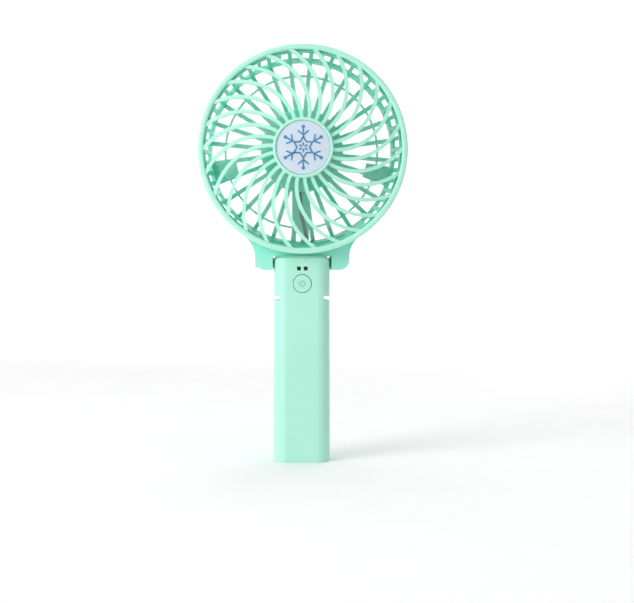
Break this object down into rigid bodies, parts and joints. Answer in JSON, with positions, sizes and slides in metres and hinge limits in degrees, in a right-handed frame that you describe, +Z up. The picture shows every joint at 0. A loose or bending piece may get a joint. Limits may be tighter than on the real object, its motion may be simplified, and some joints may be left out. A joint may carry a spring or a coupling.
{
  "type": "handheld fan",
  "caption": "Folding handheld electric fan with a round spiral grille, clear blades, a snowflake badge and a slim battery handle.",
  "frame": {"origin": "centre of the handle's flat bottom face", "axes": "+Z up along the handle to the head, the fan blows towards -Y, +X is the viewer's right"},
  "size_m": [0.102, 0.0383, 0.2044],
  "materials": {
    "mint_plastic": "satin",
    "deep_mint_plastic": "satin",
    "badge_white": "gloss",
    "clear_plastic": "translucent",
    "steel": "satin",
    "zinc_steel": "satin",
    "dark_plastic": "matte",
    "copper": "satin",
    "bronze": "satin",
    "board_green": "satin",
    "cell_wrap": "satin",
    "black_rubber": "matte",
    "red_rubber": "matte",
    "window_dark": "gloss",
    "led_white": "gloss",
    "nylon_white": "satin",
    "red_plastic": "satin",
    "magnet_grey": "matte",
    "emblem_blue": "satin",
    "mark_grey": "satin",
    "core_steel": "satin"
  },
  "bodies": {
    "handle": {"handle_front_shell": "mint_plastic", "handle_rear_shell": "mint_plastic", "battery_cell": "steel", "cell_sleeve": "cell_wrap", "battery_contact_bottom": "steel", "battery_contact_top": "steel", "circuit_board": "board_green", "board_chips": "dark_plastic", "tact_switch": "dark_plastic", "indicator_leds": "led_white", "led_windows": "window_dark", "usb_socket": "steel", "handle_screws": "zinc_steel", "board_screws": "zinc_steel", "hinge_pin_left": "steel", "hinge_pin_right": "steel", "hinge_washers": "nylon_white", "motor_lead_lower": "black_rubber", "battery_leads": "red_rubber"},
    "button": {"power_button": "mint_plastic", "button_mark": "mark_grey", "switch_plunger": "red_plastic"},
    "cover": {"battery_cover": "mint_plastic"},
    "head": {"front_grille": "mint_plastic", "badge_cap": "badge_white", "badge_emblem": "emblem_blue", "motor_wires": "red_rubber", "rear_housing": "deep_mint_plastic", "motor_can": "zinc_steel", "motor_magnets": "magnet_grey", "motor_end_cap": "dark_plastic", "motor_brushes": "copper", "motor_bushes": "bronze", "motor_terminals": "copper", "motor_screws": "zinc_steel", "motor_lead_upper": "black_rubber", "hinge_pin_caps": "mint_plastic"},
    "rotor": {"impeller": "clear_plastic", "motor_shaft": "steel", "armature_core": "core_steel", "armature_windings": "copper", "commutator": "copper"}
  },
  "joints": [
    {"name": "head_fold", "type": "hinge", "parent": "handle", "child": "head", "pos_m": [0, 0.008, 0.0978], "axis": [-1, 0, 0], "range_deg": [0, 180]},
    {"name": "impeller_spin", "type": "hinge", "parent": "head", "child": "rotor", "pos_m": [0, -0.015, 0.1534], "axis": [0, -1, 0], "continuous": true},
    {"name": "button_press", "type": "slide", "parent": "handle", "child": "button", "axis": [0, 1, 0], "range_m": [0, 0.0006], "stiffness_N_per_m": 400, "springref_m": -0.0015},
    {"name": "cover_slide", "type": "slide", "parent": "handle", "child": "cover", "axis": [0, 0, -1], "range_m": [0, 0.075]}
  ]
}
